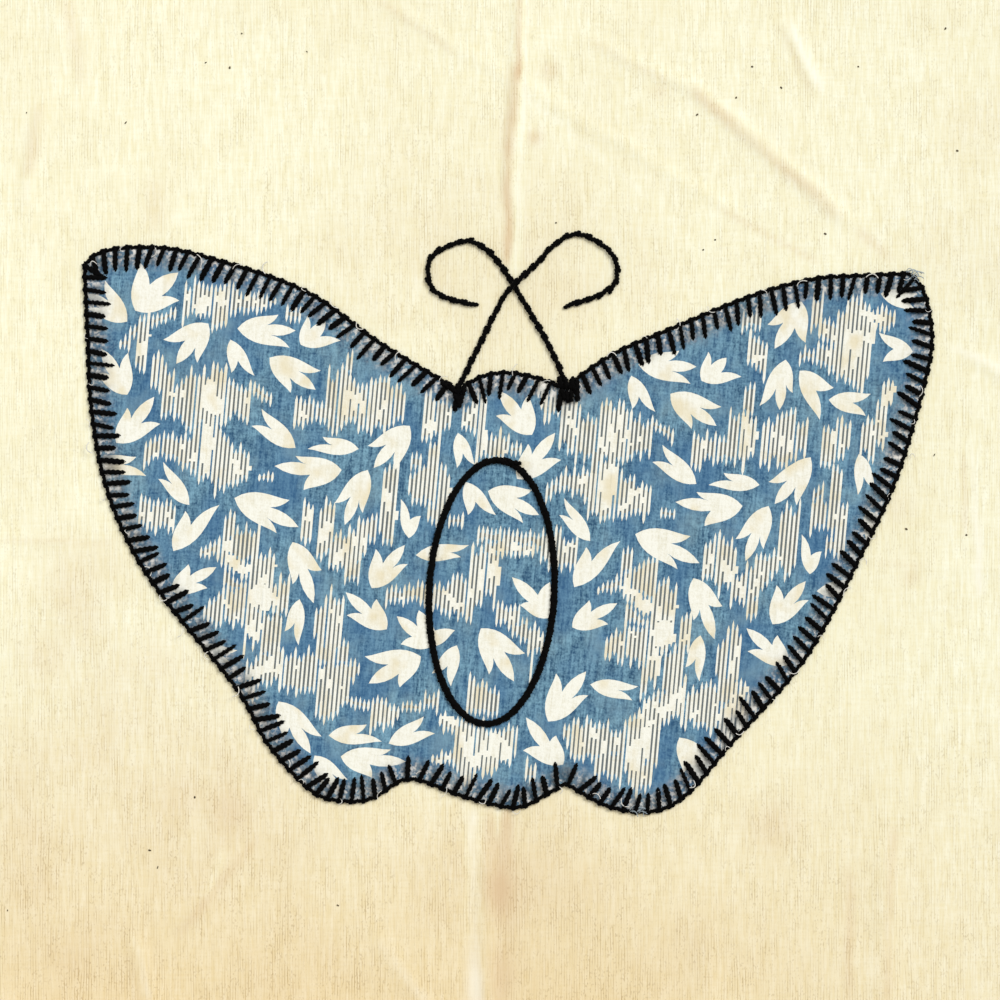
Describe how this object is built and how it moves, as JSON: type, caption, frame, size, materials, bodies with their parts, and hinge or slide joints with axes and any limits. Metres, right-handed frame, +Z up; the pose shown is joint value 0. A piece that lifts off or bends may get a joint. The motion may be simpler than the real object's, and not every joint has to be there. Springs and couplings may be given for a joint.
{
  "type": "quilt square",
  "caption": "Square of cream muslin with a butterfly of blue leaf-print cotton sewn on it, edged in black blanket stitch, lying flat face up.",
  "frame": {"origin": "under the middle of the square, on the surface it lies on", "axes": "+Z up out of the face, +Y towards the butterfly's head, +X to the right as seen from above"},
  "size_m": [0.3174, 0.3174, 0.004],
  "materials": {
    "muslin": "plain woven cream cotton muslin, pressed and creased",
    "printed_cotton": "plain woven cotton with a white leaf print on blue",
    "black_thread": "matte stranded cotton embroidery thread"
  },
  "bodies": {
    "root": {"muslin_square": "muslin", "butterfly_patch": "printed_cotton", "edge_stitching": "black_thread", "antenna_left": "black_thread", "antenna_right": "black_thread", "body_outline": "black_thread"}
  },
  "joints": []
}
